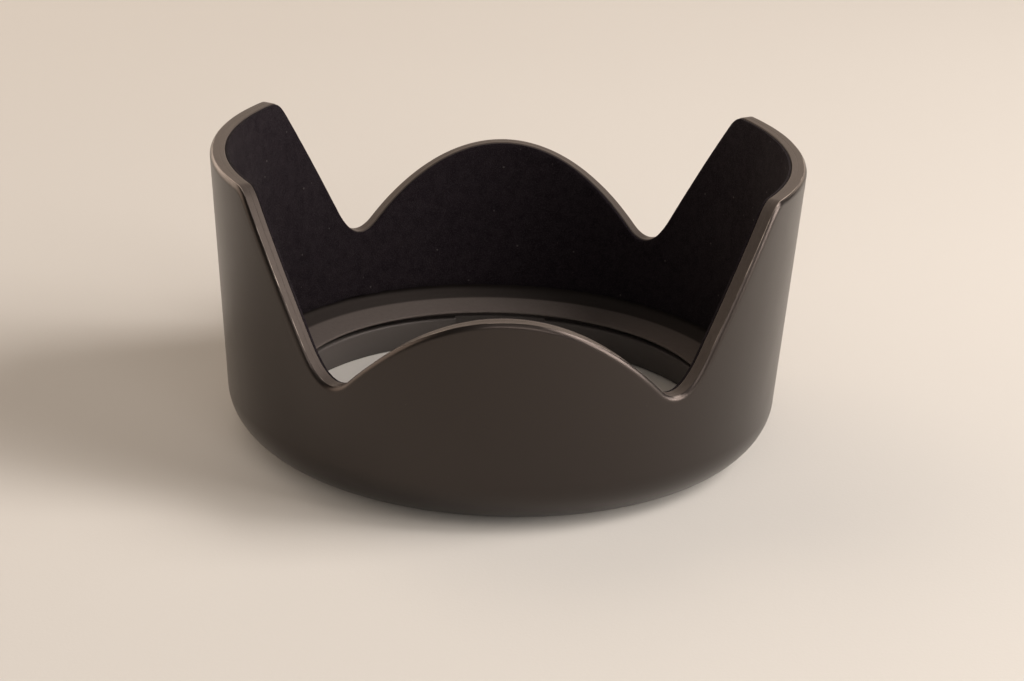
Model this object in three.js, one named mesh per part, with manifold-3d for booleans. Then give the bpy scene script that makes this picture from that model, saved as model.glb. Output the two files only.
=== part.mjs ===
// Petal lens hood, in millimetres, +Z up. The hood stands on its mount end: the origin is on the optical
// axis in the plane of the rear face, the tall petals are along X and the short ones along Y.
import * as THREE from 'three';
import { mergeVertices } from 'three/addons/utils/BufferGeometryUtils.js';
import Module from 'manifold-3d';

// Overall form of the wall, a slightly flaring cone on a rounded base.
const HEIGHT = 46.0;
const RIM_R = 46.5;
const FOOT_R = 43.3;
const TAPER = (RIM_R - FOOT_R) / HEIGHT;
const BASE_ROUND_RADIAL = 9.0;
const BASE_ROUND_AXIAL = 8.0;
const SHELL_WALL = 2.4;
const RIM_EDGE = 0.6;
const RIM_EDGE_BULGE = 0.3;

// Petal outline: each pair of petals is the wall cut by two oblique planes.
const SHORT_PETAL_Z = 34.0;
const SHORT_SLOPE = 1.72;
const TALL_SLOPE = 2.15;
const TALL_SHOULDER_X = 40.0;
const NOTCH_BLEND = 13.0;
const SHOULDER_BLEND = 2.0;
const PETALS_FROM_Z = 12.0;

// Inner ledge, with a thin lip over the bayonet channel.
const CORNER_TOP_Z = 8.2;
const LEDGE_OUTER_R = 39.0;
const LEDGE_OUTER_Z = 7.0;
const LIP_R = 33.6;
const LIP_Z = 6.4;
const CHANNEL_ROOF_Z = 6.0;
const CHANNEL_R = 36.0;

// Bayonet ring: a flange that the screws hold, and a collar that stands up inside the shell.
const GAP = 0.3;
const RING_BORE_R = 34.0;
const RING_LEAD_IN_R = 34.9;
const RING_LEAD_IN_Z = 1.8;
const RING_FLAT_R = 36.0;
const RING_OUTER_R = 38.9;
const RING_COLLAR_R = CHANNEL_R - GAP;
const RING_FLANGE_Z = 2.6;
const RING_TOP_Z = 5.0;
const ENTRY_SLOT_R = 35.2;
const ENTRY_SLOT_DEG = 26;
const ENTRY_SLOTS_DEG = [180, 300, 60];
const STOP_SPAN_DEG = 2.5;
const STOP_AT_DEG = 325;
const STOP_INSET = 0.3;
const STOP_ROOT = 0.5;

// Lining, inside the shell's wall.
const FLOCK_GAP = 0.1;
const FLOCK_THICKNESS = 0.45;
const FLOCK_FROM_Z = 8.6;
const FLOCK_BELOW_RIM = 0.15;

// Ring screws, driven from the rear.
const SCREW_RING_R = 37.15;
const SCREW_ANGLES_DEG = [0, 120, 240];
const SCREW_GAP = 0.25;
const SCREW_HEAD_R = 1.15;
const SCREW_SHANK_R = 0.7;
const SCREW_HEAD_Z = 0.7;
const SCREW_NECK_Z = 1.6;
const SCREW_TIP_Z = 5.5;
const SCREW_CROSS = 0.35;
const SCREW_CROSS_DEPTH = 0.5;
const SCREW_CROSS_LENGTH = 1.4;
const SCREW_POINT = 0.5;

// Click springs, in pockets of the shell behind the collar, pushed outward by a lens lug.
const SPRING_ANGLES_DEG = { click_spring_left: 270, click_spring_right: 90 };
const SPRING_R = 36.65;
const SPRING_THICKNESS = 0.35;
const SPRING_SPAN_DEG = 20;
const SPRING_END_GAP_DEG = 3;
const SPRING_LOW_Z = 2.95;
const SPRING_HIGH_Z = 5.65;
const NOSE_LOW_Z = 5.3;
const NOSE_R = 35.1;
const NOSE_HALF_WIDTH = 0.9;
const SPRING_TRAVEL = 0.6;

const WALL_SEGMENTS = 144;
const SMALL_SEGMENTS = 16;
const ROUNDING_STEPS = 7;
const CORNER_STEPS = 3;
const RING_STEPS = 3;
const SECTOR_STEP_DEG = 4;
const OVERCUT = 1;
const WELD_DISTANCE = 1e-4;

const wasm = await Module();
wasm.setup();

const rad = THREE.MathUtils.degToRad;

// Solid of a closed three.js geometry.
function solid(geometry) {
  const bare = geometry.clone();
  bare.deleteAttribute('normal');
  bare.deleteAttribute('uv');
  const merged = mergeVertices(bare, WELD_DISTANCE);
  return new wasm.Manifold(new wasm.Mesh({
    numProp: 3,
    vertProperties: new Float32Array(merged.attributes.position.array),
    triVerts: new Uint32Array(merged.index.array),
  }));
}

function geometryOf(manifold) {
  const mesh = manifold.getMesh();
  const geometry = new THREE.BufferGeometry();
  geometry.setAttribute('position', new THREE.BufferAttribute(mesh.vertProperties, 3));
  geometry.setIndex(new THREE.BufferAttribute(mesh.triVerts, 1));
  geometry.computeVertexNormals();
  return geometry;
}

// Turned shape about Z. Angle 0 is the front, -Y, and 90 degrees is +X.
function turned(profile, segments = WALL_SEGMENTS) {
  const points = profile.map(([r, z]) => new THREE.Vector2(r, z));
  return new THREE.LatheGeometry(points, segments).rotateX(Math.PI / 2);
}

// Point at a radius and an angle from the front, in plan.
function plan(radius, degrees) {
  return new THREE.Vector2(radius * Math.sin(rad(degrees)), -radius * Math.cos(rad(degrees)));
}

// Block between two radii and two heights, over an arc centred on an angle.
function sector(innerR, outerR, centreDeg, spanDeg, lowZ, highZ) {
  const steps = Math.max(2, Math.ceil(spanDeg / SECTOR_STEP_DEG));
  const angles = Array.from({ length: steps + 1 }, (_, i) => centreDeg + spanDeg * (i / steps - 0.5));
  const outer = angles.map((a) => plan(outerR, a));
  const inner = angles.map((a) => plan(innerR, a)).reverse();
  const shape = new THREE.Shape([...outer, ...inner]);
  const block = new THREE.ExtrudeGeometry(shape, { depth: highZ - lowZ, bevelEnabled: false });
  return block.translate(0, 0, lowZ);
}

// Wall.

function wallRadius(z) {
  return FOOT_R + TAPER * z;
}

function smoothMax(a, b, width) {
  const overlap = Math.max(width - Math.abs(a - b), 0);
  return Math.max(a, b) + (overlap * overlap) / (4 * width);
}

function smoothMin(a, b, width) {
  return -smoothMax(-a, -b, width);
}

// Height where the outer wall meets the plane z = offset + slope * distance, where the wall's direction
// makes the given cosine with the direction in which that distance is measured.
function planeOnWall(offset, slope, cosine) {
  return (offset + slope * FOOT_R * cosine) / (1 - slope * TAPER * cosine);
}

// Height of the rim at an angle from the front.
function petalHeight(angle) {
  const shortOffset = SHORT_PETAL_Z - SHORT_SLOPE * wallRadius(SHORT_PETAL_Z);
  const tallOffset = HEIGHT - TALL_SLOPE * TALL_SHOULDER_X;
  const short = planeOnWall(shortOffset, SHORT_SLOPE, Math.abs(Math.cos(angle)));
  const tall = planeOnWall(tallOffset, TALL_SLOPE, Math.abs(Math.sin(angle)));
  return smoothMin(HEIGHT, smoothMax(short, tall, NOTCH_BLEND), SHOULDER_BLEND);
}

// Lowers everything near the rim of a turned wall to the petal outline, along the wall's slope.
function petalled(geometry) {
  const position = geometry.attributes.position;
  for (let i = 0; i < position.count; i += 1) {
    const x = position.getX(i);
    const y = position.getY(i);
    const z = position.getZ(i);
    if (z > PETALS_FROM_Z) {
      const drop = HEIGHT - petalHeight(Math.atan2(x, -y));
      const scale = 1 - (TAPER * drop) / Math.hypot(x, y);
      position.setXYZ(i, x * scale, y * scale, z - drop);
    }
  }
  return geometry;
}

// The base's rounding is a quarter ellipse, from the plane of the rear face up to the wall. These are its
// points between two radii, given by their turn round the ellipse.
function basePoints(fromR, toR, steps) {
  const innerR = wallRadius(BASE_ROUND_AXIAL) - BASE_ROUND_RADIAL;
  const turnAt = (r) => Math.asin(Math.min(1, (r - innerR) / BASE_ROUND_RADIAL));
  return Array.from({ length: steps + 1 }, (_, i) => {
    const turn = THREE.MathUtils.lerp(turnAt(fromR), turnAt(toR), i / steps);
    return [innerR + BASE_ROUND_RADIAL * Math.sin(turn), BASE_ROUND_AXIAL * (1 - Math.cos(turn))];
  });
}

function shellProfile() {
  const pocketR = RING_OUTER_R + GAP;
  const profile = basePoints(pocketR, wallRadius(BASE_ROUND_AXIAL), ROUNDING_STEPS);
  profile.push([wallRadius(HEIGHT - RIM_EDGE), HEIGHT - RIM_EDGE]);
  profile.push([RIM_R - RIM_EDGE * RIM_EDGE_BULGE, HEIGHT - RIM_EDGE * RIM_EDGE_BULGE]);
  profile.push([RIM_R - RIM_EDGE, HEIGHT]);
  profile.push([RIM_R - SHELL_WALL, HEIGHT]);
  const cornerR = wallRadius(CORNER_TOP_Z) - SHELL_WALL;
  for (let i = 0; i <= CORNER_STEPS; i += 1) {
    const t = (Math.PI / 2) * (i / CORNER_STEPS);
    const r = LEDGE_OUTER_R + (cornerR - LEDGE_OUTER_R) * Math.cos(t);
    profile.push([r, CORNER_TOP_Z - (CORNER_TOP_Z - LEDGE_OUTER_Z) * Math.sin(t)]);
  }
  profile.push([LIP_R, LIP_Z]);
  profile.push([LIP_R, CHANNEL_ROOF_Z]);
  profile.push([CHANNEL_R, CHANNEL_ROOF_Z]);
  profile.push([CHANNEL_R, RING_FLANGE_Z + GAP]);
  profile.push([pocketR, RING_FLANGE_Z + GAP]);
  profile.push(profile[0]);
  return profile;
}

function hoodShell() {
  let shell = solid(petalled(turned(shellProfile())));
  for (const angle of SCREW_ANGLES_DEG) {
    const holeTop = SCREW_TIP_Z + GAP;
    const holeLow = RING_FLANGE_Z - GAP;
    const holeR = SCREW_SHANK_R + SCREW_GAP;
    const hole = new THREE.CylinderGeometry(holeR, holeR, holeTop - holeLow, SMALL_SEGMENTS);
    hole.rotateX(Math.PI / 2);
    const at = plan(SCREW_RING_R, angle);
    hole.translate(at.x, at.y, (holeTop + holeLow) / 2);
    shell = shell.subtract(solid(hole));
  }
  for (const angle of Object.values(SPRING_ANGLES_DEG)) {
    const depthR = SPRING_R + SPRING_THICKNESS + SPRING_TRAVEL + GAP;
    const spanDeg = SPRING_SPAN_DEG + SPRING_END_GAP_DEG;
    shell = shell.subtract(solid(
      sector(RING_COLLAR_R, depthR, angle, spanDeg, RING_FLANGE_Z, CHANNEL_ROOF_Z)));
  }
  return geometryOf(shell);
}

function flockLining() {
  const back = (z) => wallRadius(z) - SHELL_WALL - FLOCK_GAP;
  const top = HEIGHT - FLOCK_BELOW_RIM;
  const profile = [
    [back(FLOCK_FROM_Z), FLOCK_FROM_Z],
    [back(top), top],
    [back(top) - FLOCK_THICKNESS, top],
    [back(FLOCK_FROM_Z) - FLOCK_THICKNESS, FLOCK_FROM_Z],
    [back(FLOCK_FROM_Z), FLOCK_FROM_Z],
  ];
  return geometryOf(solid(petalled(turned(profile))));
}

// Mount ring.

function ringProfile() {
  return [
    [RING_LEAD_IN_R, 0],
    [RING_FLAT_R, 0],
    ...basePoints(RING_FLAT_R, RING_OUTER_R, RING_STEPS).slice(1),
    [RING_OUTER_R, RING_FLANGE_Z],
    [RING_COLLAR_R, RING_FLANGE_Z],
    [RING_COLLAR_R, RING_TOP_Z],
    [RING_BORE_R, RING_TOP_Z],
    [RING_BORE_R, RING_LEAD_IN_Z],
    [RING_LEAD_IN_R, 0],
  ];
}

// Countersunk clearance hole, in the shape of the screw grown by the gap.
function screwHole(angle) {
  const headR = SCREW_HEAD_R + SCREW_GAP;
  const shankR = SCREW_SHANK_R + SCREW_GAP;
  const profile = [
    [0, -OVERCUT],
    [headR, -OVERCUT],
    [headR, SCREW_HEAD_Z],
    [shankR, SCREW_NECK_Z],
    [shankR, RING_FLANGE_Z + OVERCUT],
    [0, RING_FLANGE_Z + OVERCUT],
  ];
  const at = plan(SCREW_RING_R, angle);
  return turned(profile, SMALL_SEGMENTS).translate(at.x, at.y, 0);
}

function bayonetRing() {
  let ring = solid(turned(ringProfile(), WALL_SEGMENTS / 2));
  for (const angle of ENTRY_SLOTS_DEG) {
    const slot = sector(RING_BORE_R - OVERCUT, ENTRY_SLOT_R, angle, ENTRY_SLOT_DEG,
      -OVERCUT, RING_TOP_Z + OVERCUT);
    ring = ring.subtract(solid(slot));
  }
  for (const angle of SCREW_ANGLES_DEG) {
    ring = ring.subtract(solid(screwHole(angle)));
  }
  const stop = sector(RING_BORE_R + STOP_INSET, RING_COLLAR_R - STOP_INSET, STOP_AT_DEG, STOP_SPAN_DEG,
    RING_TOP_Z - STOP_ROOT, CHANNEL_ROOF_Z - GAP);
  return geometryOf(ring.add(solid(stop)));
}

// Small hardware.

function ringScrew() {
  const profile = [
    [0, SCREW_HEAD_Z],
    [SCREW_HEAD_R, SCREW_HEAD_Z],
    [SCREW_SHANK_R, SCREW_NECK_Z],
    [SCREW_SHANK_R, SCREW_TIP_Z - SCREW_POINT],
    [SCREW_SHANK_R / 2, SCREW_TIP_Z],
    [0, SCREW_TIP_Z],
  ];
  let screw = solid(turned(profile, SMALL_SEGMENTS));
  const depth = SCREW_CROSS_DEPTH * 2;
  for (const [x, y] of [[SCREW_CROSS_LENGTH, SCREW_CROSS], [SCREW_CROSS, SCREW_CROSS_LENGTH]]) {
    screw = screw.subtract(solid(new THREE.BoxGeometry(x, y, depth).translate(0, 0, SCREW_HEAD_Z)));
  }
  return geometryOf(screw);
}

// Leaf along the channel wall, with a nose that stands over the collar into the channel.
function clickSpring(angle) {
  const leaf = solid(sector(
    SPRING_R, SPRING_R + SPRING_THICKNESS, angle, SPRING_SPAN_DEG, SPRING_LOW_Z, SPRING_HIGH_Z));
  const noseSpan = THREE.MathUtils.radToDeg(NOSE_HALF_WIDTH / NOSE_R) * 2;
  const nose = solid(sector(
    NOSE_R, SPRING_R + SPRING_THICKNESS / 2, angle, noseSpan, NOSE_LOW_Z, SPRING_HIGH_Z));
  return geometryOf(leaf.add(nose));
}

// Materials.

const shellPlastic = { color: 0x1d1a19, roughness: 0.45, metalness: 0 };
const ringPlastic = { color: 0x2a2827, roughness: 0.5, metalness: 0 };
const velvet = { color: 0x060507, roughness: 1, metalness: 0 };
const steel = { color: 0x8d8f92, roughness: 0.35, metalness: 1 };

function piece(name, geometry, finish) {
  const mesh = new THREE.Mesh(geometry, new THREE.MeshStandardMaterial(finish));
  mesh.name = name;
  return mesh;
}

const hood = new THREE.Group();
hood.name = 'petal_lens_hood';
hood.add(piece('hood_shell', hoodShell(), shellPlastic));
hood.add(piece('flock_lining', flockLining(), velvet));
hood.add(piece('bayonet_ring', bayonetRing(), ringPlastic));
SCREW_ANGLES_DEG.forEach((angle, i) => {
  const screw = piece(`ring_screw_${i + 1}`, ringScrew(), steel);
  const at = plan(SCREW_RING_R, angle);
  screw.position.set(at.x, at.y, 0);
  hood.add(screw);
});
for (const [name, angle] of Object.entries(SPRING_ANGLES_DEG)) {
  hood.add(piece(name, clickSpring(angle), steel));
}

export default hood;
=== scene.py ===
"""Looks of the petal lens hood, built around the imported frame. Metres, +Z up, short petals along Y."""
import math

import bmesh
import bpy
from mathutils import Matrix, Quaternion, Vector, noise


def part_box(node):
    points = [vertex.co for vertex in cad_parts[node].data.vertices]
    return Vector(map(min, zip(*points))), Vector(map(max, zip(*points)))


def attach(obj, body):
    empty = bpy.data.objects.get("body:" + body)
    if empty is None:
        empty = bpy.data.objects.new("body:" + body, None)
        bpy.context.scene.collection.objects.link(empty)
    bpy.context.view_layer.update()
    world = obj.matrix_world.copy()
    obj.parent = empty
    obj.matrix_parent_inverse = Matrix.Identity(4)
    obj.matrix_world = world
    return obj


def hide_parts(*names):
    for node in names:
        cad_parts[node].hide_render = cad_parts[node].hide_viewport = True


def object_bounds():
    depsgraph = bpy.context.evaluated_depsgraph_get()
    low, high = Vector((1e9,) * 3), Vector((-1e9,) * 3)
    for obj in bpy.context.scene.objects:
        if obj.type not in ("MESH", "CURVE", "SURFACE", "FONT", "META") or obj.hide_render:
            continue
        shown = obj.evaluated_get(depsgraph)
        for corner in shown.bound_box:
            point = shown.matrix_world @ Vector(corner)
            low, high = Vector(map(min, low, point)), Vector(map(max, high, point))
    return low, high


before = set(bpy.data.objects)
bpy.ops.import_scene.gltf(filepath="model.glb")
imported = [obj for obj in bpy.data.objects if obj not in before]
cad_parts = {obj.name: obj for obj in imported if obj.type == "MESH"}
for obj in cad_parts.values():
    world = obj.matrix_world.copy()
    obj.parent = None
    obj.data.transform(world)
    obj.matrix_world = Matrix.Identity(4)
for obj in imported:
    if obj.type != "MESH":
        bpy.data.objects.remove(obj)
cad_low, cad_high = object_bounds()

MM = 0.001
HOOD_BODY = "hood"

# All dimensions are in millimetres, and angles go from the front (-Y) towards +X.

# Wall, as a flaring cone on an elliptical base rounding. The frame gives the height.
HEIGHT = cad_high.z / MM
RIM_R = 46.5
FOOT_R = 43.3
TAPER = (RIM_R - FOOT_R) / HEIGHT
BASE_RADIAL = 9.0
BASE_AXIAL = 8.0
SHELL_WALL = 2.4

# Cross-section of the rim: outer rounding, crease, flat face with a fine line along it, inner edge.
RIM_ROUND = 1.2
RIM_ROUND_DEG = 52
RIM_ROUND_STEPS = 8
RIM_CREASE = 0.14
RIM_CREASE_STEPS = 4
RIM_INNER_EDGE = 0.15
RIM_INNER_STEPS = 3
RIM_LINE_SHARE = 0.62
RIM_LINE_HALF = 0.05
RIM_LINE_DEPTH = 0.025
EDGE_SUPPORT = 0.05

# Petal outline: the wall cut by two pairs of oblique planes.
SHORT_PETAL_Z = 34.0
SHORT_SLOPE = 1.72
TALL_SLOPE = 2.15
TALL_SHOULDER_X = 40.0
NOTCH_BLEND = 13.0
SHOULDER_BLEND = 2.0
WALL_ROWS_FROM_Z = 12.0

# Ledge and channel.
LEDGE_OUTER_R = 39.0
LEDGE_OUTER_Z = 7.0
LEDGE_RADII = (38.4, 37.6, 36.4, 35.2, 34.4)
LEDGE_CROWN = 0.08
LIP_R = 33.6
LIP_Z = 6.4
LIP_ROUND = 0.3
LIP_ROUND_STEPS = 4
LIP_EDGE = 0.08
CHANNEL_ROOF_Z = 6.0
CHANNEL_R = 36.0
CORNER_STEPS = 10
CORNER_TOP_Z = 8.2
CORNER_TOP_SHADE = 0.16
CORNER_LOW_SHADE = 0.34

# Mount ring, with its entry slots and stop.
RING_BORE_R = 34.0
RING_FLAT_R = 36.0
RING_OUTER_R = 38.9
RING_COLLAR_R = 35.7
RING_FLANGE_Z = 2.6
RING_TOP_Z = 5.0
RING_LEAD_IN = 0.9
RING_LEAD_IN_Z = 1.8
RING_TOP_ROUND = 0.35
RING_TOP_ROUND_STEPS = 5
RING_COLLAR_EDGE = 0.1
ENTRY_SLOT_R = 35.2
ENTRY_SLOT_LEAD_IN = 0.1
ENTRY_SLOT_HALF_DEG = 13.0
ENTRY_SLOTS_DEG = (60.0, 180.0, 300.0)
SLOT_CLEAR_DEG = 0.4
SLOT_WALL_HALF_DEG = 0.01
STOP_AT_DEG = 325.0
STOP_HALF_DEG = 1.25
STOP_INNER_R = 34.3
STOP_OUTER_R = 35.4
STOP_LOW_Z = 4.5
STOP_TOP_Z = 5.7
STOP_BEVEL = 0.1
GAP = 0.3

# Click springs at +X and -X, each in a pocket of the shell behind the channel.
SPRING_LEAF_R = 36.65
SPRING_THICKNESS = 0.3
SPRING_HALF_DEG = 10.0
SPRING_BOW = 0.15
SPRING_STEPS = 80
NOSE_R = 35.1
NOSE_HALF_DEG = 1.4
NOSE_LOW_Z = 5.3
NOSE_RELIEF = 0.05
SPRING_POCKET_R = 37.9
SPRING_POCKET_HALF_DEG = 11.5

# Ring screws, and the holes for them in the shell and the ring. The head's rounded edge is given as steps
# from its corner, and the ring's hole as points, both in (radius, height).
SCREW_HEAD_R = 1.15
SCREW_HEAD_DEPTH = 0.9
SCREW_HEAD_DISH = 0.02
SCREW_HEAD_EDGE = ((-0.12, 0.0), (-0.03, 0.04), (0.0, 0.12))
SCREW_SHANK_R = 0.7
SCREW_AXIS_R = 0.05
SCREW_SEGMENTS = 32
THREAD_DEPTH = 0.12
THREAD_PITCH = 0.35
THREAD_START = 0.15
THREAD_END = 0.6
POINT_START = 0.5
POINT_R = 0.3
POINT_ROUND = 0.05
RECESS_OVERSHOOT = 0.1
RECESS_DEPTH = 0.55
RECESS_TOP_HALF = (0.68, 0.15)
RECESS_FLOOR_HALF = (0.3, 0.1)
SCREW_HOLE_R = 0.95
SHELL_HOLE_Z = (2.0, 5.8)
RING_HOLE = ((1.4, -1.0), (1.4, 0.7), (SCREW_HOLE_R, 1.6), (SCREW_HOLE_R, 3.0))
HOLE_SEGMENTS = 48

# Flock, with the noise that ruffles its surface as (fineness, depth) pairs.
FLOCK_GAP = 0.1
FLOCK_THICKNESS = 0.45
FLOCK_FROM_Z = 8.6
FLOCK_BELOW_RIM = 0.12
FLOCK_EDGE = 0.1
FLOCK_NAP = ((500, 0.025), (200, 0.03))
FLOCK_FRAY = (900, 0.12)

# How finely the pieces are divided.
COLUMNS = 720
CLIMB_ROWS = 10
FLOCK_ROWS = 44
SHELL_BASE_STEPS = 24
RING_BASE_STEPS = 8
RIM_SAMPLES = 4000
RIM_SLOPE_STEP = 0.002


# Shape of the wall.

def wall_radius(z):
    return FOOT_R + TAPER * z


def smooth_max(a, b, width):
    overlap = max(width - abs(a - b), 0.0)
    return max(a, b) + overlap * overlap / (4 * width)


def smooth_min(a, b, width):
    return -smooth_max(-a, -b, width)


def plane_on_wall(offset, slope, cosine):
    """Height where the wall meets the plane z = offset + slope * distance."""
    return (offset + slope * FOOT_R * cosine) / (1 - slope * TAPER * cosine)


def petal_height(angle):
    """Height of the rim at an angle from the front, in radians."""
    short_offset = SHORT_PETAL_Z - SHORT_SLOPE * wall_radius(SHORT_PETAL_Z)
    tall_offset = HEIGHT - TALL_SLOPE * TALL_SHOULDER_X
    short = plane_on_wall(short_offset, SHORT_SLOPE, abs(math.cos(angle)))
    tall = plane_on_wall(tall_offset, TALL_SLOPE, abs(math.sin(angle)))
    return smooth_min(HEIGHT, smooth_max(short, tall, NOTCH_BLEND), SHOULDER_BLEND)


def rim_columns(count):
    """Angles spaced evenly along the rim's own length, so the notches and flanks are as fine as the rest."""
    step = 2 * math.pi / RIM_SAMPLES
    lengths = [0.0]
    for i in range(RIM_SAMPLES):
        rise = petal_height((i + 1) * step) - petal_height(i * step)
        lengths.append(lengths[-1] + math.hypot(rise, RIM_R * step))
    angles = []
    at = 0
    for k in range(count):
        want = lengths[-1] * k / count
        while lengths[at + 1] < want:
            at += 1
        share = (want - lengths[at]) / (lengths[at + 1] - lengths[at])
        angles.append((at + share) * step)
    return angles


def inward(angle):
    """Unit direction from the rim into the wall, in the unrolled wall: (along the wall, up)."""
    rise = petal_height(angle + RIM_SLOPE_STEP) - petal_height(angle - RIM_SLOPE_STEP)
    run = 2 * RIM_SLOPE_STEP * RIM_R
    size = math.hypot(rise, run)
    return rise / size, -run / size


def place(radius, angle, z):
    return Vector((radius * math.sin(angle), -radius * math.cos(angle), z)) * MM


def below_rim(angle, depth):
    """Angle and height of the point at a depth from the rim, square to its edge."""
    along, up = inward(angle)
    z = petal_height(angle) + up * depth
    turn = along * depth / wall_radius(z)
    return angle + turn, z


def on_rim(angle, depth, inset):
    """Point at a depth from the rim and an inset from the outer wall."""
    turned, z = below_rim(angle, depth)
    return place(wall_radius(z) - inset, turned, z)


def climbing_angle(angle, rim_angle, share):
    """Angle of a point at a share of the way up the wall, which turns to the rim's mostly near the top."""
    return angle + (rim_angle - angle) * share ** 3


# Mesh helpers.

def new_object(name, mesh):
    obj = bpy.data.objects.new(name, mesh)
    bpy.context.scene.collection.objects.link(obj)
    return obj


def mesh_object(name, bm):
    """Object of a finished bmesh, with its faces outward."""
    bmesh.ops.recalc_face_normals(bm, faces=bm.faces)
    mesh = bpy.data.meshes.new(name)
    bm.to_mesh(mesh)
    bm.free()
    return new_object(name, mesh)


def join_loops(bm, first, second):
    """Quads between two closed loops of as many points."""
    count = len(first)
    for i in range(count):
        k = (i + 1) % count
        bm.faces.new((first[i], second[i], second[k], first[k]))


def grid_piece(name, columns):
    """Closed mesh from columns of points, which wrap round both ways."""
    bm = bmesh.new()
    made = [[bm.verts.new(p) for p in column] for column in columns]
    for i, column in enumerate(made):
        join_loops(bm, column, made[(i + 1) % len(made)])
    return mesh_object(name, bm)


def capped_piece(name, loops):
    """Closed mesh from a row of loops of points, with a face over each end."""
    bm = bmesh.new()
    made = [[bm.verts.new(p) for p in loop] for loop in loops]
    for first, second in zip(made, made[1:]):
        join_loops(bm, first, second)
    bm.faces.new(made[0])
    bm.faces.new(made[-1])
    return mesh_object(name, bm)


def turned_piece(name, centre, profile, segments):
    """Piece turned about the vertical line through a centre, from (radius, height) points."""
    angles = [2 * math.pi * i / segments for i in range(segments)]
    offset = Vector((centre.x, centre.y, 0))
    return capped_piece(name, [[place(r, a, z) + offset for a in angles] for r, z in profile])


def mark_rows(obj, name, weights):
    """Per-vertex weight of a grid piece, one number for each row of its columns."""
    attribute = obj.data.attributes.new(name, "FLOAT", "POINT")
    count = len(obj.data.vertices) // len(weights)
    attribute.data.foreach_set("value", weights * count)


def smooth(obj, angle_deg=35):
    obj.data.shade_smooth()
    obj.data.set_sharp_from_angle(angle=math.radians(angle_deg))


def combine(obj, tools, operation="DIFFERENCE"):
    """Cuts the tools out of the object, or joins them to it, and removes them."""
    for tool in tools:
        modifier = obj.modifiers.new("combine", "BOOLEAN")
        modifier.operation = operation
        modifier.solver = "EXACT"
        modifier.object = tool
        with bpy.context.temp_override(object=obj, active_object=obj):
            bpy.ops.object.modifier_apply(modifier=modifier.name)
        bpy.data.objects.remove(tool)


def round_points(centre, size, start_deg, end_deg, steps):
    """Points of an elliptical corner, from one angle to another, in (radius, height)."""
    points = []
    for i in range(steps + 1):
        t = math.radians(start_deg + (end_deg - start_deg) * i / steps)
        points.append((centre[0] + size[0] * math.cos(t), centre[1] + size[1] * math.sin(t)))
    return points


def base_points(from_r, to_r, steps):
    """Points of the base rounding between two radii, in (radius, height)."""
    inner = wall_radius(BASE_AXIAL) - BASE_RADIAL
    start = math.asin((from_r - inner) / BASE_RADIAL)
    end = math.asin(min(1.0, (to_r - inner) / BASE_RADIAL))
    points = []
    for i in range(steps + 1):
        turn = start + (end - start) * i / steps
        points.append((inner + BASE_RADIAL * math.sin(turn), BASE_AXIAL * (1 - math.cos(turn))))
    return points


# Shell.

def rim_section():
    """The rim's cross-section, from the outer wall over to the inner wall, as four lists: the points' depths
    and insets, how much each belongs to the pale flat face, and how much to the crease beside it."""
    end = math.radians(RIM_ROUND_DEG)
    crease_depth = RIM_CREASE * (1 - math.sin(end))
    crease_inset = RIM_ROUND * (1 - math.cos(end)) + RIM_CREASE * math.cos(end)
    points = []
    for i in range(RIM_ROUND_STEPS + 1):
        t = end * i / RIM_ROUND_STEPS
        depth = crease_depth + RIM_ROUND * (math.sin(end) - math.sin(t))
        points.append((depth, RIM_ROUND * (1 - math.cos(t)), 0.0, 0.0))
    for i in range(1, RIM_CREASE_STEPS + 1):
        t = end + (math.pi / 2 - end) * i / RIM_CREASE_STEPS
        depth = RIM_CREASE * (1 - math.sin(t))
        points.append((depth, crease_inset - RIM_CREASE * math.cos(t), i / RIM_CREASE_STEPS, 1.0))
    line = SHELL_WALL * RIM_LINE_SHARE
    shoulder = RIM_LINE_HALF + EDGE_SUPPORT
    face = [(crease_inset + EDGE_SUPPORT, 0.0), (line - shoulder, 0.0), (line - RIM_LINE_HALF, 0.0),
            (line, RIM_LINE_DEPTH), (line + RIM_LINE_HALF, 0.0), (line + shoulder, 0.0),
            (SHELL_WALL - RIM_INNER_EDGE - EDGE_SUPPORT, 0.0)]
    points += [(depth, inset, 1.0, 0.0) for inset, depth in face]
    for i in range(RIM_INNER_STEPS + 1):
        t = math.radians(90 * i / RIM_INNER_STEPS)
        inset = SHELL_WALL - RIM_INNER_EDGE * (1 - math.sin(t))
        points.append((RIM_INNER_EDGE * (1 - math.cos(t)), inset, 1.0, 0.0))
    return [list(values) for values in zip(*points)]


def ledge_points(channel_r):
    """Inside of the base, from the wall down over the ledge and lip into the bayonet channel."""
    corner_r = wall_radius(CORNER_TOP_Z) - SHELL_WALL
    points = [(wall_radius(WALL_ROWS_FROM_Z) - SHELL_WALL, WALL_ROWS_FROM_Z)]
    points += round_points((LEDGE_OUTER_R, CORNER_TOP_Z),
                           (corner_r - LEDGE_OUTER_R, LEDGE_OUTER_Z - CORNER_TOP_Z), 0, 90, CORNER_STEPS)
    width = LEDGE_OUTER_R - LIP_R
    slope = (LEDGE_OUTER_Z - LIP_Z) / width
    for r in LEDGE_RADII:
        points.append((r, LIP_Z + slope * (r - LIP_R) + LEDGE_CROWN * (r - LIP_R) / width))
    points += round_points((LIP_R + LIP_ROUND, LIP_Z - LIP_ROUND), (-LIP_ROUND, LIP_ROUND),
                           90, 0, LIP_ROUND_STEPS)
    points += [(LIP_R, CHANNEL_ROOF_Z + LIP_EDGE), (LIP_R + LIP_EDGE, CHANNEL_ROOF_Z),
               (channel_r, CHANNEL_ROOF_Z), (channel_r, RING_FLANGE_Z + GAP),
               (RING_OUTER_R + GAP, RING_FLANGE_Z + GAP)]
    return points


def in_spring_pocket(angle):
    return abs(math.degrees(angle) % 180 - 90) < SPRING_POCKET_HALF_DEG


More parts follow.
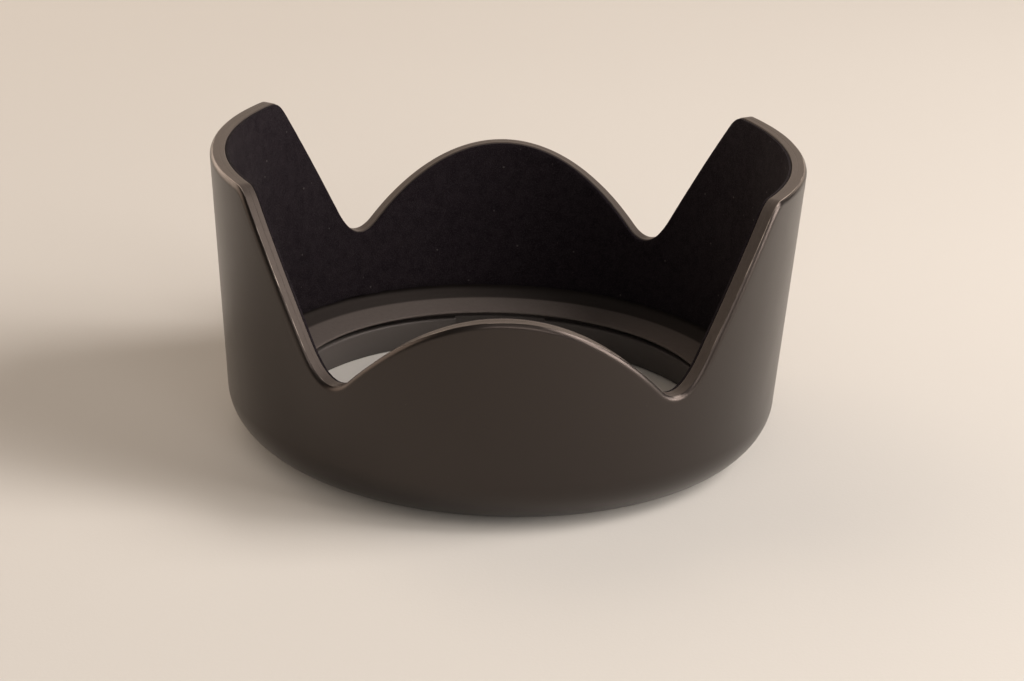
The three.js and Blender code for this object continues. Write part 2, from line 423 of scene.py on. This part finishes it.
def climb_points(angle, depth, inset):
    """Points up the wall to the one at a depth from the rim, which isn't among them."""
    rim_angle, top = below_rim(angle, depth)
    points = []
    for i in range(1, CLIMB_ROWS):
        share = i / CLIMB_ROWS
        z = WALL_ROWS_FROM_Z + (top - WALL_ROWS_FROM_Z) * share
        points.append(place(wall_radius(z) - inset, climbing_angle(angle, rim_angle, share), z))
    return points


def make_shell():
    outer = base_points(RING_OUTER_R + GAP, wall_radius(BASE_AXIAL), SHELL_BASE_STEPS)
    outer.append((wall_radius(WALL_ROWS_FROM_Z), WALL_ROWS_FROM_Z))
    plain_inner = ledge_points(CHANNEL_R)
    pocket_inner = ledge_points(SPRING_POCKET_R)
    depths, insets, face_marks, crease_marks = rim_section()
    columns = []
    for angle in rim_columns(COLUMNS):
        inner = pocket_inner if in_spring_pocket(angle) else plain_inner
        column = [place(r, angle, z) for r, z in outer]
        column += climb_points(angle, depths[0], 0.0)
        column += [on_rim(angle, depth, inset) for depth, inset in zip(depths, insets)]
        column += climb_points(angle, depths[-1], SHELL_WALL)[::-1]
        column += [place(r, angle, z) for r, z in inner]
        columns.append(column)
    shell = grid_piece("hood_shell_moulding", columns)
    climb_rows = CLIMB_ROWS - 1
    outer_rows = len(outer) + climb_rows
    inner_rows = climb_rows + len(plain_inner)
    for name, marks in (("rim_face", face_marks), ("crease", crease_marks)):
        mark_rows(shell, name, [0.0] * outer_rows + marks + [0.0] * inner_rows)
    before = outer_rows + len(depths)
    mark_rows(shell, "inside", [0.0] * before + [1.0] * inner_rows)
    step = (CORNER_LOW_SHADE - CORNER_TOP_SHADE) / CORNER_STEPS
    shade = [CORNER_TOP_SHADE] * (climb_rows + 1)
    shade += [CORNER_TOP_SHADE + step * i for i in range(CORNER_STEPS + 1)]
    shade += [1.0] * (inner_rows - len(shade))
    mark_rows(shell, "ledge", [0.0] * before + shade)
    return shell


def cut_screw_holes(shell, centres):
    """Drills the shell for the screws, and marks the new points, which all lie behind the ring, as inside."""
    profile = [(SCREW_HOLE_R, z) for z in SHELL_HOLE_Z]
    combine(shell, [turned_piece("drill", centre, profile, HOLE_SEGMENTS) for centre in centres])
    behind_ring = []
    for vertex in shell.data.vertices:
        radius = math.hypot(vertex.co.x, vertex.co.y) / MM
        if CHANNEL_R < radius < RING_OUTER_R and vertex.co.z / MM < CHANNEL_ROOF_Z - EDGE_SUPPORT:
            behind_ring.append(vertex.index)
    for name, value in (("rim_face", 0.0), ("crease", 0.0), ("inside", 1.0), ("ledge", 1.0)):
        data = shell.data.attributes[name].data
        for index in behind_ring:
            data[index].value = value
    smooth(shell)


# Flock.

def make_flock():
    columns = []
    for angle in rim_columns(COLUMNS):
        rim_angle, top = below_rim(angle, FLOCK_BELOW_RIM)
        front = []
        back = []
        for i in range(FLOCK_ROWS + 1):
            share = i / FLOCK_ROWS
            z = FLOCK_FROM_Z + (top - FLOCK_FROM_Z) * share
            a = climbing_angle(angle, rim_angle, share)
            r = wall_radius(z) - SHELL_WALL - FLOCK_GAP
            if i in (0, FLOCK_ROWS // 2, FLOCK_ROWS):
                back.append(place(r, a, z))
            spot = place(r - FLOCK_THICKNESS, a, z)
            nap = sum(noise.noise(spot * fineness) * depth for fineness, depth in FLOCK_NAP)
            edge = FLOCK_EDGE if i in (0, FLOCK_ROWS) else 0.0
            fray = noise.noise(spot * FLOCK_FRAY[0]) * FLOCK_FRAY[1] if i == 0 else 0.0
            front.append(place(r - FLOCK_THICKNESS + nap + edge, a, z + fray))
        columns.append(back + front[::-1])
    lining = grid_piece("flock_velvet", columns)
    smooth(lining, angle_deg=70)
    return lining


# Mount ring.

def ring_columns():
    """Angles of the ring's columns, with whether each is inside an entry slot."""
    edges = []
    for centre in ENTRY_SLOTS_DEG:
        edges += [(centre - ENTRY_SLOT_HALF_DEG, False), (centre + ENTRY_SLOT_HALF_DEG, True)]
    found = []
    for degrees in range(360):
        inside = any(abs(degrees - centre) < ENTRY_SLOT_HALF_DEG for centre in ENTRY_SLOTS_DEG)
        if all(abs(degrees - edge) > SLOT_CLEAR_DEG for edge, _ in edges):
            found.append((float(degrees), inside))
    for edge, inside_before in edges:
        found.append((edge - SLOT_WALL_HALF_DEG, inside_before))
        found.append((edge + SLOT_WALL_HALF_DEG, not inside_before))
    return sorted(found)


def make_ring():
    columns = []
    for degrees, inside in ring_columns():
        bore = ENTRY_SLOT_R if inside else RING_BORE_R
        lead = ENTRY_SLOT_R + ENTRY_SLOT_LEAD_IN if inside else RING_BORE_R + RING_LEAD_IN
        profile = [(lead, 0.0), (RING_FLAT_R, 0.0)]
        profile += base_points(RING_FLAT_R, RING_OUTER_R, RING_BASE_STEPS)[1:]
        profile += [(RING_OUTER_R, RING_FLANGE_Z), (RING_COLLAR_R, RING_FLANGE_Z),
                    (RING_COLLAR_R, RING_TOP_Z - RING_COLLAR_EDGE),
                    (RING_COLLAR_R - RING_COLLAR_EDGE, RING_TOP_Z)]
        profile += round_points((bore + RING_TOP_ROUND, RING_TOP_Z - RING_TOP_ROUND),
                                (-RING_TOP_ROUND, RING_TOP_ROUND), 90, 0, RING_TOP_ROUND_STEPS)
        profile.append((bore, RING_LEAD_IN_Z))
        columns.append([place(r, math.radians(degrees), z) for r, z in profile])
    ring = grid_piece("mount_ring", columns)
    combine(ring, [stop_rib()], "UNION")
    return ring


def stop_rib():
    """Small block on the ring's land, which a lens lug turns up against."""
    bm = bmesh.new()
    for side in (-1, 1):
        for r in (STOP_INNER_R, STOP_OUTER_R):
            for z in (STOP_LOW_Z, STOP_TOP_Z):
                bm.verts.new(place(r, math.radians(STOP_AT_DEG + side * STOP_HALF_DEG), z))
    bmesh.ops.convex_hull(bm, input=list(bm.verts))
    bmesh.ops.dissolve_limit(bm, angle_limit=math.radians(1), verts=list(bm.verts), edges=list(bm.edges))
    bmesh.ops.bevel(bm, geom=list(bm.edges), offset=STOP_BEVEL * MM, segments=2, profile=0.5,
                    affect="EDGES")
    return mesh_object("stop_rib", bm)


# Screws and springs.

def make_screw(name):
    low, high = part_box(name)
    centre = (low + high) / 2
    head_z = low.z / MM
    neck_z = head_z + SCREW_HEAD_DEPTH
    tip_z = high.z / MM
    root_r = SCREW_SHANK_R - THREAD_DEPTH
    profile = [(SCREW_AXIS_R, head_z + SCREW_HEAD_DISH)]
    profile += [(SCREW_HEAD_R + across, head_z + up) for across, up in SCREW_HEAD_EDGE]
    profile.append((SCREW_SHANK_R, neck_z))
    z = neck_z + THREAD_START
    while z < tip_z - THREAD_END:
        profile += [(root_r, z), (SCREW_SHANK_R, z + THREAD_PITCH / 2)]
        z += THREAD_PITCH
    profile += [(root_r, tip_z - POINT_START), (POINT_R, tip_z - POINT_ROUND), (SCREW_AXIS_R, tip_z)]
    screw = turned_piece(name + "_turned", centre, profile, SCREW_SEGMENTS)
    combine(screw, [recess_bar(centre, head_z, degrees) for degrees in (0.0, 90.0)])
    smooth(screw, angle_deg=30)
    return screw


def recess_bar(centre, head_z, degrees):
    """One tapering bar of a cross recess."""
    turn = math.radians(degrees)
    loops = []
    for z, (half_length, half_width) in ((head_z - RECESS_OVERSHOOT, RECESS_TOP_HALF),
                                         (head_z + RECESS_DEPTH, RECESS_FLOOR_HALF)):
        loop = []
        for along, across in ((-1, -1), (1, -1), (1, 1), (-1, 1)):
            x = along * half_length
            y = across * half_width
            loop.append((centre.x + (x * math.cos(turn) - y * math.sin(turn)) * MM,
                         centre.y + (x * math.sin(turn) + y * math.cos(turn)) * MM,
                         z * MM))
        loops.append(loop)
    return capped_piece("recess", loops)


def make_spring(name):
    low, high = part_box(name)
    centre_deg = 90 if low.x > 0 else -90
    low_z, high_z = low.z / MM, high.z / MM
    loops = []
    for i in range(SPRING_STEPS + 1):
        offset = SPRING_HALF_DEG * (2 * i / SPRING_STEPS - 1)
        inner = SPRING_LEAF_R + SPRING_BOW * (offset / SPRING_HALF_DEG) ** 2
        outer = inner + SPRING_THICKNESS
        reach = max(0.0, 1 - abs(offset / NOSE_HALF_DEG))
        nose_r = inner - (SPRING_LEAF_R - NOSE_R) * math.sin(reach * math.pi / 2)
        profile = [(inner, low_z), (outer, low_z), (outer, high_z), (nose_r, high_z),
                   (nose_r, NOSE_LOW_Z + NOSE_RELIEF), (inner, NOSE_LOW_Z)]
        angle = math.radians(centre_deg + offset)
        loops.append([place(r, angle, z) for r, z in profile])
    spring = capped_piece(name + "_leaf", loops)
    smooth(spring, angle_deg=40)
    return spring


# Materials. Colours are linear, and each pair is a darker and a paler shade.

SHELL_COLOURS = ((0.0060, 0.0053, 0.0051, 1), (0.0078, 0.0070, 0.0067, 1))
RIM_COLOURS = ((0.052, 0.045, 0.040, 1), (0.070, 0.060, 0.054, 1))
# Pale colour along the rim's crease: partly wear, partly a painted highlight.
WEAR_AND_HIGHLIGHT_COLOUR = (0.36, 0.32, 0.28, 1)
LEDGE_COLOURS = ((0.102, 0.090, 0.083, 1), (0.130, 0.114, 0.106, 1))
CORNER_COLOUR = (0.004, 0.0035, 0.0034, 1)
RING_COLOURS = ((0.065, 0.058, 0.054, 1), (0.081, 0.072, 0.067, 1))
FLOCK_COLOURS = ((0.0070, 0.0052, 0.0072, 1), (0.0125, 0.0098, 0.0123, 1))
# Painted highlight on the flock's nap.
NAP_HIGHLIGHT_COLOUR = (0.027, 0.023, 0.026, 1)
LINT_COLOUR = (0.16, 0.145, 0.14, 1)
SCREW_COLOUR = (0.16, 0.155, 0.15, 1)
SPRING_COLOUR = (0.55, 0.54, 0.52, 1)
FLOOR_COLOURS = ((0.620, 0.620, 0.591, 1), (0.655, 0.660, 0.630, 1))
DUST_COLOUR = (0.40, 0.36, 0.32, 1)

SHELL_ROUGH = 0.31
RING_ROUGH = 0.6
DUST_ROUGH = 0.9
RIM_ADDED_ROUGH = 0.17
INSIDE_ADDED_ROUGH = 0.32
SHELL_SHINE = 0.58
RIM_LOST_SHINE = 0.42
INSIDE_LOST_SHINE = 0.54
SHELL_SHINE_TINT = (1.0, 0.85, 0.77, 1)
DUST_SHARE = 0.05


class Graph:
    """Short names for making a node material. Sizes are in millimetres."""

    def __init__(self, name):
        self.material = bpy.data.materials.new(name)
        self.material.use_nodes = True
        self.tree = self.material.node_tree
        self.shader = self.tree.nodes["Principled BSDF"]
        self.coords = self.tree.nodes.new("ShaderNodeTexCoord").outputs["Object"]

    def put(self, socket, value):
        if isinstance(value, bpy.types.NodeSocket):
            self.tree.links.new(value, socket)
        else:
            socket.default_value = value

    def set(self, **values):
        for key, value in values.items():
            self.put(self.shader.inputs[key.replace("_", " ")], value)

    def noise(self, size_mm, detail=2.0, rough=0.5, distortion=0.0):
        node = self.tree.nodes.new("ShaderNodeTexNoise")
        self.put(node.inputs["Vector"], self.coords)
        node.inputs["Scale"].default_value = 1 / (size_mm * MM)
        node.inputs["Detail"].default_value = detail
        node.inputs["Roughness"].default_value = rough
        node.inputs["Distortion"].default_value = distortion
        return node.outputs["Fac"]

    def cells(self, size_mm):
        node = self.tree.nodes.new("ShaderNodeTexVoronoi")
        self.put(node.inputs["Vector"], self.coords)
        node.inputs["Scale"].default_value = 1 / (size_mm * MM)
        return node.outputs["Distance"], node.outputs["Color"]

    def remap(self, value, low, high, to_low, to_high):
        node = self.tree.nodes.new("ShaderNodeMapRange")
        self.put(node.inputs["Value"], value)
        for key, number in (("From Min", low), ("From Max", high), ("To Min", to_low), ("To Max", to_high)):
            node.inputs[key].default_value = number
        return node.outputs["Result"]

    def attribute(self, name):
        node = self.tree.nodes.new("ShaderNodeAttribute")
        node.attribute_name = name
        return node.outputs["Fac"]

    def math(self, operation, a, b):
        node = self.tree.nodes.new("ShaderNodeMath")
        node.operation = operation
        self.put(node.inputs[0], a)
        self.put(node.inputs[1], b)
        return node.outputs[0]

    def add(self, a, b):
        return self.math("ADD", a, b)

    def times(self, a, b):
        return self.math("MULTIPLY", a, b)

    def larger(self, a, b):
        return self.math("MAXIMUM", a, b)

    def mix(self, share, a, b):
        node = self.tree.nodes.new("ShaderNodeMix")
        node.data_type = "RGBA"
        self.put(node.inputs["Factor"], share)
        self.put(node.inputs["A"], a)
        self.put(node.inputs["B"], b)
        return node.outputs["Result"]

    def bump(self, height, depth_mm, strength=1.0, under=None):
        node = self.tree.nodes.new("ShaderNodeBump")
        node.inputs["Distance"].default_value = depth_mm * MM
        node.inputs["Strength"].default_value = strength
        self.put(node.inputs["Height"], height)
        if under is not None:
            self.put(node.inputs["Normal"], under)
        return node.outputs["Normal"]

    def specks(self, cell_mm, radius, keep):
        """Small soft spots: one in a share of the cells, as a 0 to 1 mask."""
        distance, colour = self.cells(cell_mm)
        split = self.tree.nodes.new("ShaderNodeSeparateColor")
        self.put(split.inputs[0], colour)
        chosen = self.math("GREATER_THAN", split.outputs[0], 1 - keep)
        spot = self.remap(distance, radius * 0.4, radius, 1.0, 0.0)
        return self.times(chosen, spot)


def moulded_plastic(name, colours, rough):
    """Fine matte moulded plastic, with its base colour, its roughness and a dust mask still to mix in."""
    g = Graph(name)
    broad = g.noise(30, 2, 0.5)
    grain = g.noise(0.14, 2, 0.6)
    handling = g.noise(7, 3, 0.55, 0.6)
    tint = g.mix(g.remap(broad, 0.3, 0.7, 0.0, 1.0), *colours)
    dusty = g.larger(g.specks(4.1, 0.02, DUST_SHARE), g.times(g.specks(1.3, 0.03, DUST_SHARE), 0.5))
    rough = g.add(rough, g.remap(handling, 0.3, 0.7, -0.012, 0.012))
    g.set(Normal=g.bump(grain, 0.01, 0.45), IOR=1.5)
    return g, tint, rough, dusty


def shell_finish():
    """Satin outer wall, paler matte rim face with wear and a painted highlight along its crease, and rough
    grey plastic on the ledge.
    """
    g, tint, rough, dusty = moulded_plastic("shell", SHELL_COLOURS, SHELL_ROUGH)
    rim = g.attribute("rim_face")
    inside = g.attribute("inside")
    scuff = g.noise(0.7, 3, 0.6)
    # The crease's pale line is partly wear and partly a painted highlight, broken up by this noise.
    wear_and_highlight_patches = g.remap(g.noise(6, 3, 0.6), 0.42, 0.6, 0.0, 1.0)
    crease_wear_and_highlight = g.times(g.attribute("crease"), wear_and_highlight_patches)
    rim_colour = g.mix(crease_wear_and_highlight, g.mix(scuff, *RIM_COLOURS), WEAR_AND_HIGHLIGHT_COLOUR)
    inside_colour = g.mix(g.attribute("ledge"), CORNER_COLOUR, g.mix(scuff, *LEDGE_COLOURS))
    tint = g.mix(inside, g.mix(g.larger(rim, crease_wear_and_highlight), tint, rim_colour), inside_colour)
    lost_shine = g.add(g.times(rim, RIM_LOST_SHINE), g.times(inside, INSIDE_LOST_SHINE))
    added_rough = g.add(g.times(rim, RIM_ADDED_ROUGH), g.times(inside, INSIDE_ADDED_ROUGH))
    rough = g.larger(g.add(rough, added_rough), g.times(dusty, DUST_ROUGH))
    g.set(Base_Color=g.mix(dusty, tint, DUST_COLOUR), Roughness=rough)
    g.set(Specular_IOR_Level=g.math("SUBTRACT", SHELL_SHINE, lost_shine), Specular_Tint=SHELL_SHINE_TINT)
    return g.material


def ring_finish():
    g, tint, rough, dusty = moulded_plastic("ring", RING_COLOURS, RING_ROUGH)
    g.set(Base_Color=g.mix(dusty, tint, DUST_COLOUR), Roughness=rough)
    return g.material


def flock_velvet():
    """Black velvet with clumped nap, painted highlights on the nap, and scattered lint."""
    g = Graph("flock")
    nap = g.noise(0.22, 3, 0.7)
    clumps = g.noise(1.6, 3, 0.6, 0.6)
    brushed = g.noise(9, 2, 0.5)
    deep = g.mix(g.remap(clumps, 0.35, 0.65, 0, 1), *FLOCK_COLOURS)
    # The paler pile is a painted highlight, spread over the nap's noise.
    base = g.mix(g.remap(nap, 0.45, 0.75, 0, 0.8), deep, NAP_HIGHLIGHT_COLOUR)
    lint = g.larger(g.specks(1.4, 0.16, 0.10), g.specks(5.5, 0.06, 0.3))
    g.set(Base_Color=g.mix(g.times(lint, 0.3), base, LINT_COLOUR))
    g.set(Roughness=1.0, Specular_IOR_Level=0.05)
    g.set(Sheen_Weight=g.remap(brushed, 0.3, 0.7, 0.01, 0.03), Sheen_Roughness=0.5)
    pile = g.bump(nap, 0.12, 0.8)
    g.set(Normal=g.bump(clumps, 0.1, 0.4, pile))
    return g.material


def steel(name, colour, smoothest, roughest):
    """Brushed steel, a quarter darker along the brush marks."""
    g = Graph(name)
    brush = g.noise(0.3, 3, 0.6, 2.0)
    darker = tuple(c * 0.75 for c in colour[:3]) + (1,)
    g.set(Base_Color=g.mix(brush, colour, darker), Metallic=1.0)
    g.set(Roughness=g.remap(brush, 0.3, 0.7, smoothest, roughest), Normal=g.bump(brush, 0.004, 0.4))
    return g.material


def floor_cloth():
    g = Graph("floor")
    drift = g.noise(220, 2, 0.5)
    fine = g.noise(0.6, 2, 0.6)
    g.set(Base_Color=g.mix(drift, *FLOOR_COLOURS))
    g.set(Roughness=0.95, Specular_IOR_Level=0.1, Normal=g.bump(fine, 0.05, 0.3))
    return g.material


def finish_with(obj, material):
    obj.data.materials.clear()
    obj.data.materials.append(material)


# Camera, floor and light.

CAMERA_DISTANCE = 418.1
CAMERA_ELEVATION = 20.22
CAMERA_AZIMUTH = -0.95
CAMERA_ROLL = 2.07
CAMERA_LENS = 92.05
CAMERA_SENSOR = 36
CAMERA_CLIP_M = (0.01, 20)
AIM_HEIGHT = 20.9
AIM_RIGHT_DEG = 0.213
AIM_UP_DEG = -0.889

FLOOR_RADIUS_M = 4.0
FLOOR_SEGMENTS = 96
FLOOR_DROP_M = 0.0001

# Panel lights: name, degrees from the front towards +X, degrees up, distance in metres, width and height in
# metres, watts, colour.
COOL = (1.0, 0.895, 0.835)
WARM = (1.0, 0.80, 0.65)
LIGHT_AIM = Vector((0, 0, 0.02))
WORLD_STRENGTH = 0.015
LIGHTS = (
    ("key_low", 70, 34, 0.85, (0.45, 0.4), 2.5, COOL),
    ("key_high", 88, 44, 0.85, (0.35, 0.35), 4.5, COOL),
    ("low_right", 76, 14, 0.8, (0.5, 0.25), 4.2, COOL),
    ("backdrop", 180, 16, 1.2, (2.2, 0.6), 6.9, WARM),
    ("low_back_left", 252, 14, 0.9, (1.4, 0.7), 6.6, WARM),
    ("high_back_left", 215, 52, 1.0, (0.8, 0.6), 1.8, WARM),
    ("front_low", 10, 22, 1.1, (0.9, 0.3), 3.0, COOL),
    ("front_high", 0, 55, 1.0, (0.8, 0.5), 0.9, COOL),
)


def direction(azimuth, elevation):
    """Unit direction from degrees round from the front towards +X, and degrees up."""
    a = math.radians(azimuth)
    e = math.radians(elevation)
    return Vector((math.sin(a) * math.cos(e), -math.cos(a) * math.cos(e), math.sin(e)))


def make_camera():
    data = bpy.data.cameras.new("camera")
    data.sensor_width = CAMERA_SENSOR
    data.lens = CAMERA_LENS
    data.clip_start, data.clip_end = CAMERA_CLIP_M
    camera = new_object("camera", data)
    back = direction(CAMERA_AZIMUTH, CAMERA_ELEVATION)
    a = math.radians(CAMERA_AZIMUTH)
    right = Vector((math.cos(a), math.sin(a), 0))
    up = right.cross(-back)
    aim = -back + right * math.tan(math.radians(AIM_RIGHT_DEG)) + up * math.tan(math.radians(AIM_UP_DEG))
    camera.rotation_mode = "QUATERNION"
    camera.location = Vector((0, 0, AIM_HEIGHT)) * MM + back * CAMERA_DISTANCE * MM
    roll = Quaternion((0, 0, 1), math.radians(CAMERA_ROLL))
    camera.rotation_quaternion = aim.to_track_quat("-Z", "Y") @ roll
    bpy.context.scene.camera = camera


def make_floor():
    bm = bmesh.new()
    bmesh.ops.create_circle(bm, cap_ends=True, radius=FLOOR_RADIUS_M, segments=FLOOR_SEGMENTS)
    mesh = bpy.data.meshes.new("floor")
    bm.to_mesh(mesh)
    bm.free()
    floor = new_object("floor", mesh)
    floor.location.z = -FLOOR_DROP_M
    finish_with(floor, floor_cloth())


def panel_light(name, azimuth, elevation, distance, size, watts, colour):
    data = bpy.data.lights.new(name, "AREA")
    data.shape = "RECTANGLE"
    data.size, data.size_y = size
    data.energy = watts
    data.color = colour
    light = new_object(name, data)
    light.location = direction(azimuth, elevation) * distance
    light.rotation_mode = "QUATERNION"
    light.rotation_quaternion = (LIGHT_AIM - light.location).to_track_quat("-Z", "Y")


def make_light():
    world = bpy.data.worlds.new("world")
    bpy.context.scene.world = world
    world.use_nodes = True
    background = world.node_tree.nodes["Background"]
    background.inputs["Color"].default_value = WARM + (1.0,)
    background.inputs["Strength"].default_value = WORLD_STRENGTH
    for row in LIGHTS:
        panel_light(*row)
    bpy.context.scene.view_settings.view_transform = "Standard"


# Assembly.

def dress(piece, node, body, material):
    finish_with(piece, material)
    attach(piece, body)
    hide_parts(node)


def main():
    screw_steel = steel("screw_steel", SCREW_COLOUR, 0.3, 0.45)
    spring_steel = steel("spring_steel", SPRING_COLOUR, 0.25, 0.38)

    shell = make_shell()
    dress(shell, "hood_shell", HOOD_BODY, shell_finish())
    dress(make_flock(), "flock_lining", HOOD_BODY, flock_velvet())

    ring = make_ring()
    screws = [f"ring_screw_{i}" for i in (1, 2, 3)]
    centres = []
    for name in screws:
        low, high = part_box(name)
        centres.append((low + high) / 2)
    cut_screw_holes(shell, centres)
    combine(ring, [turned_piece("drill", centre, RING_HOLE, HOLE_SEGMENTS) for centre in centres])
    smooth(ring, angle_deg=30)
    dress(ring, "bayonet_ring", HOOD_BODY, ring_finish())
    for name in screws:
        dress(make_screw(name), name, HOOD_BODY, screw_steel)
    for side in ("left", "right"):
        name = f"click_spring_{side}"
        dress(make_spring(name), name, f"click_{side}", spring_steel)


make_camera()
make_floor()
make_light()
main()
